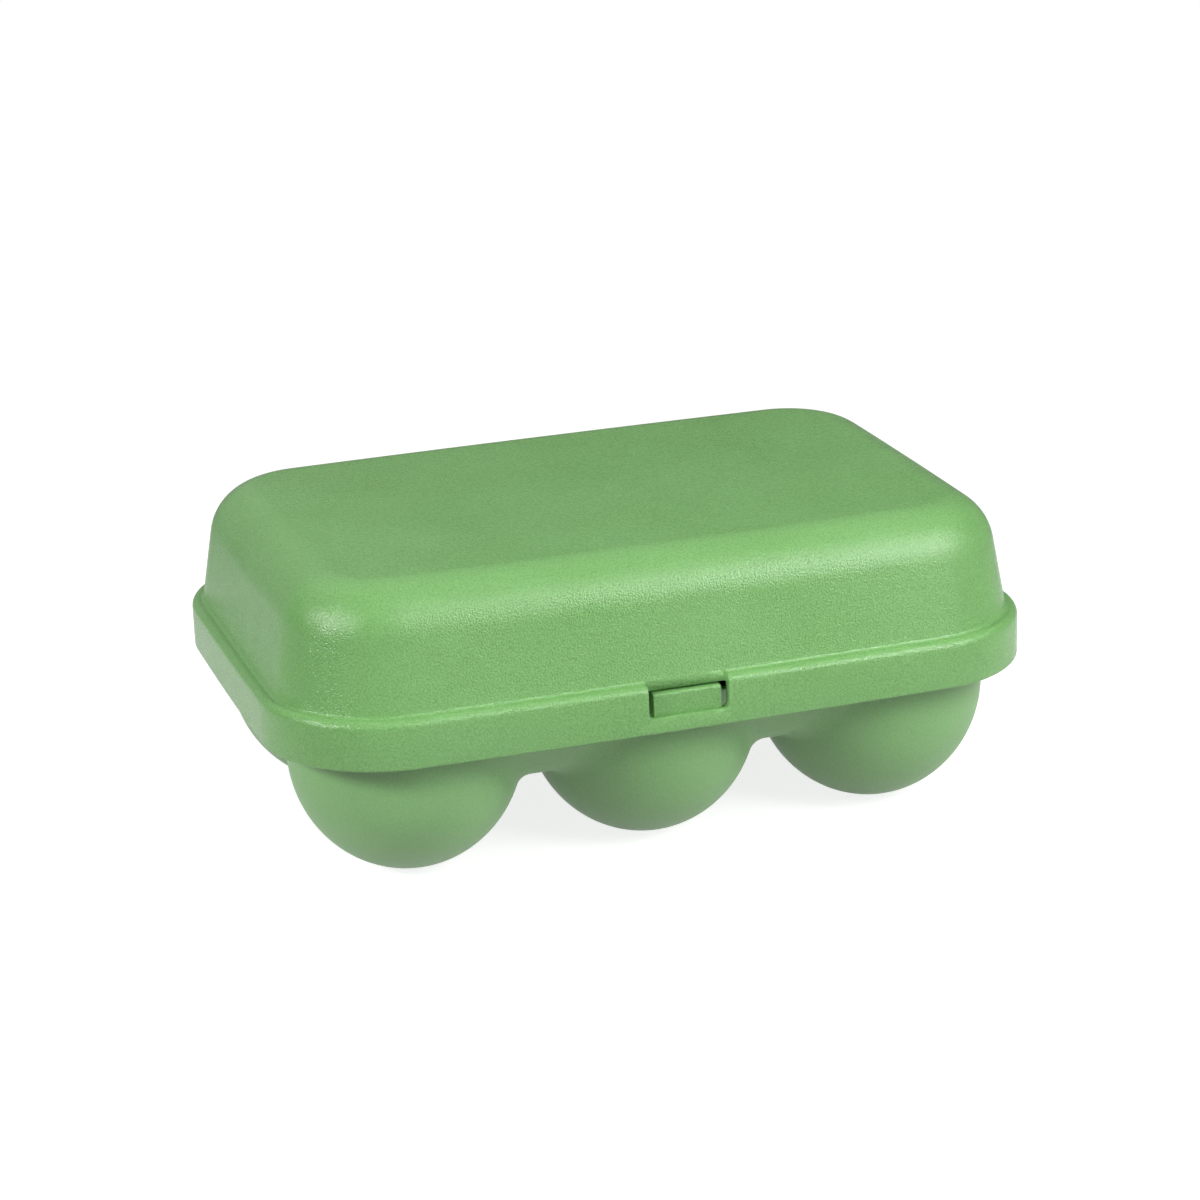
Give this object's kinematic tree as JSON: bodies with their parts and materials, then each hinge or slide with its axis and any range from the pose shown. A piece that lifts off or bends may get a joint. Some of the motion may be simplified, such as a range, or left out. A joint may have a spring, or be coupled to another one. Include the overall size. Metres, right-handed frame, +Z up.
{
  "type": "egg box",
  "caption": "Rigid plastic egg carrier: rounded domed lid with a ledge and skirt, hinged to a tray of round cups, with a front latch tongue.",
  "frame": {"origin": "under the middle of the closed box, on the plane of the flat cup feet that it stands on", "axes": "+X along the long side, to the right seen from the latch; +Y from the latch at the front to the hinge at the back; +Z up"},
  "size_m": [0.1652, 0.1152, 0.0667],
  "materials": {
    "lid_plastic": "fine grained satin, moulded",
    "base_plastic": "fine grained satin, moulded",
    "pin_plastic": "plain moulded"
  },
  "bodies": {
    "base": {"base_tray": "base_plastic", "cup_front_left": "base_plastic", "cup_front_middle": "base_plastic", "cup_front_right": "base_plastic", "cup_back_left": "base_plastic", "cup_back_middle": "base_plastic", "cup_back_right": "base_plastic", "hinge_pin_left": "pin_plastic", "hinge_pin_right": "pin_plastic"},
    "lid": {"lid_shell": "lid_plastic"},
    "latch": {"latch_tongue": "base_plastic"}
  },
  "joints": [
    {"name": "lid_hinge", "type": "hinge", "parent": "base", "child": "lid", "pos_m": [0, 0.05487, 0.0286], "axis": [-1, 0, 0], "range_deg": [0, 120]},
    {"name": "latch_flex", "type": "hinge", "parent": "base", "child": "latch", "pos_m": [0, -0.05025, 0.0302], "axis": [-1, 0, 0], "range_deg": [0, 8], "stiffness_Nm_per_rad": 0.2}
  ]
}
